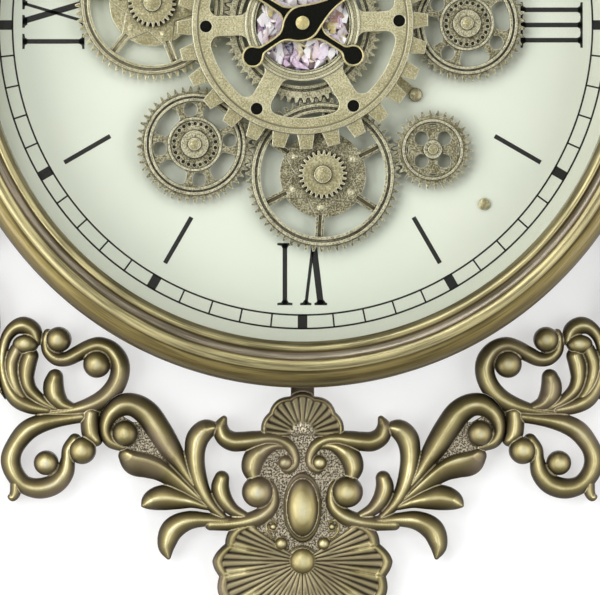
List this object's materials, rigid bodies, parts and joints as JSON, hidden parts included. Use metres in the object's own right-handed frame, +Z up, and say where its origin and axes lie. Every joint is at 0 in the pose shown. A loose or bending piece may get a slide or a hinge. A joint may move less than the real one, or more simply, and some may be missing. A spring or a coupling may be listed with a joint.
{
  "type": "wall clock",
  "caption": "Round wall clock with open show gears turning before a pale dial, black leaf hands, a turned brass bezel and a cast scroll frame.",
  "frame": {"origin": "on the clock's axis, where the back cover meets the wall", "axes": "+Z up, +X to the viewer's right, -Y out of the dial towards the viewer"},
  "size_m": [0.432, 0.0575, 0.6292],
  "materials": {
    "frame_bronze": "satin antique, bright on the crests",
    "bezel_brass": "brushed antique",
    "gear_brass": "pale antique",
    "black_paint": "satin",
    "crystal": "rough chips",
    "dial_paint": "matt printed",
    "clear_glass": "clear",
    "gasket_rubber": "matt",
    "case_plastic": "moulded",
    "plated_steel": "zinc plated",
    "black_plastic": "moulded",
    "white_plastic": "moulded",
    "board_green": "coated",
    "coil_copper": "enamelled wire",
    "cell_jacket": "gloss"
  },
  "bodies": {
    "case": {"lower_cartouche": "frame_bronze", "upper_cartouche": "frame_bronze", "lower_left_scroll": "frame_bronze", "lower_right_scroll": "frame_bronze", "upper_left_scroll": "frame_bronze", "upper_right_scroll": "frame_bronze", "left_side_scroll": "frame_bronze", "right_side_scroll": "frame_bronze", "bezel": "bezel_brass", "dial_spacer": "bezel_brass", "post_caps": "gear_brass", "dial_strap": "gear_brass", "dial_screws": "gear_brass", "gear_posts": "gear_brass", "centre_tube": "gear_brass", "centre_nut": "gear_brass", "dial_plate": "dial_paint", "lens": "clear_glass", "lens_gasket": "gasket_rubber", "case_band": "case_plastic", "back_cover": "case_plastic", "back_cover_screws": "plated_steel", "hanger_plate": "plated_steel", "hanger_rivets": "plated_steel", "frame_straps": "plated_steel", "frame_screws": "plated_steel", "cell_contacts": "plated_steel", "motor_can": "plated_steel", "centre_clip": "plated_steel", "movement_case": "black_plastic", "movement_lid": "black_plastic", "motor_housing": "black_plastic", "motor_lid": "black_plastic", "circuit_board": "board_green", "movement_coil": "coil_copper", "cells": "cell_jacket"},
    "centre_wheel": {"main_gear": "gear_brass", "spoke_plugs": "black_paint", "centre_drive_gear": "gear_brass", "crystal_tray": "gear_brass", "crystal_bed": "crystal"},
    "bottom_wheel": {"bottom_gear": "gear_brass", "bottom_pinion": "gear_brass"},
    "left_wheel": {"left_gear": "gear_brass", "left_pinion": "gear_brass"},
    "top_wheel": {"top_gear": "gear_brass", "top_pinion": "gear_brass"},
    "lower_left_wheel": {"lower_left_gear": "gear_brass"},
    "upper_left_wheel": {"upper_left_gear": "gear_brass"},
    "right_wheel": {"right_gear": "gear_brass"},
    "lower_right_wheel": {"lower_right_gear": "gear_brass", "motor_shaft": "plated_steel"},
    "upper_wheel": {"upper_gear": "gear_brass"},
    "minute": {"minute_hand": "black_paint", "minute_arbor": "plated_steel", "hand_cap": "gear_brass"},
    "hour": {"hour_hand": "black_paint", "hour_pipe": "white_plastic"},
    "setting": {"minute_wheel": "white_plastic", "setting_knob": "black_plastic"}
  },
  "joints": [
    {"name": "centre_wheel_turn", "type": "hinge", "parent": "case", "child": "centre_wheel", "pos_m": [0, 0, 0], "axis": [0, 1, 0], "continuous": true},
    {"name": "bottom_wheel_turn", "type": "hinge", "parent": "case", "child": "bottom_wheel", "pos_m": [0.01013, 0, -0.07494], "axis": [0, 1, 0], "continuous": true},
    {"name": "left_wheel_turn", "type": "hinge", "parent": "case", "child": "left_wheel", "pos_m": [-0.07487, 0, 0.01066], "axis": [0, 1, 0], "continuous": true},
    {"name": "top_wheel_turn", "type": "hinge", "parent": "case", "child": "top_wheel", "pos_m": [0.04931, 0, 0.05733], "axis": [0, 1, 0], "continuous": true},
    {"name": "lower_left_wheel_turn", "type": "hinge", "parent": "case", "child": "lower_left_wheel", "pos_m": [-0.05373, 0, -0.05985], "axis": [0, 1, 0], "continuous": true},
    {"name": "upper_left_wheel_turn", "type": "hinge", "parent": "case", "child": "upper_left_wheel", "pos_m": [-0.04457, 0, 0.06887], "axis": [0, 1, 0], "continuous": true},
    {"name": "right_wheel_turn", "type": "hinge", "parent": "case", "child": "right_wheel", "pos_m": [0.08203, 0, 0.00044], "axis": [0, 1, 0], "continuous": true},
    {"name": "lower_right_wheel_turn", "type": "hinge", "parent": "case", "child": "lower_right_wheel", "pos_m": [0.06499, 0, -0.06248], "axis": [0, 1, 0], "continuous": true},
    {"name": "upper_wheel_turn", "type": "hinge", "parent": "case", "child": "upper_wheel", "pos_m": [0.00214, 0, 0.08797], "axis": [0, 1, 0], "continuous": true},
    {"name": "minute_turn", "type": "hinge", "parent": "case", "child": "minute", "pos_m": [0, 0, 0], "axis": [0, 1, 0], "continuous": true},
    {"name": "hour_turn", "type": "hinge", "parent": "case", "child": "hour", "pos_m": [0, 0, 0], "axis": [0, 1, 0], "continuous": true},
    {"name": "setting_turn", "type": "hinge", "parent": "case", "child": "setting", "pos_m": [0.00707, 0, 0.00707], "axis": [0, 1, 0], "continuous": true}
  ],
  "couplings": [
    {"joint": "bottom_wheel_turn", "follows": "centre_wheel_turn", "ratio": -1.0167},
    {"joint": "left_wheel_turn", "follows": "centre_wheel_turn", "ratio": -1.0167},
    {"joint": "top_wheel_turn", "follows": "centre_wheel_turn", "ratio": -1.0167},
    {"joint": "lower_left_wheel_turn", "follows": "centre_wheel_turn", "ratio": 1.3556},
    {"joint": "upper_left_wheel_turn", "follows": "centre_wheel_turn", "ratio": 1.3556},
    {"joint": "right_wheel_turn", "follows": "centre_wheel_turn", "ratio": 1.3556},
    {"joint": "lower_right_wheel_turn", "follows": "centre_wheel_turn", "ratio": 2.0333},
    {"joint": "upper_wheel_turn", "follows": "centre_wheel_turn", "ratio": 2.0333},
    {"joint": "hour_turn", "follows": "minute_turn", "ratio": 0.083333},
    {"joint": "setting_turn", "follows": "minute_turn", "ratio": -0.33333}
  ]
}
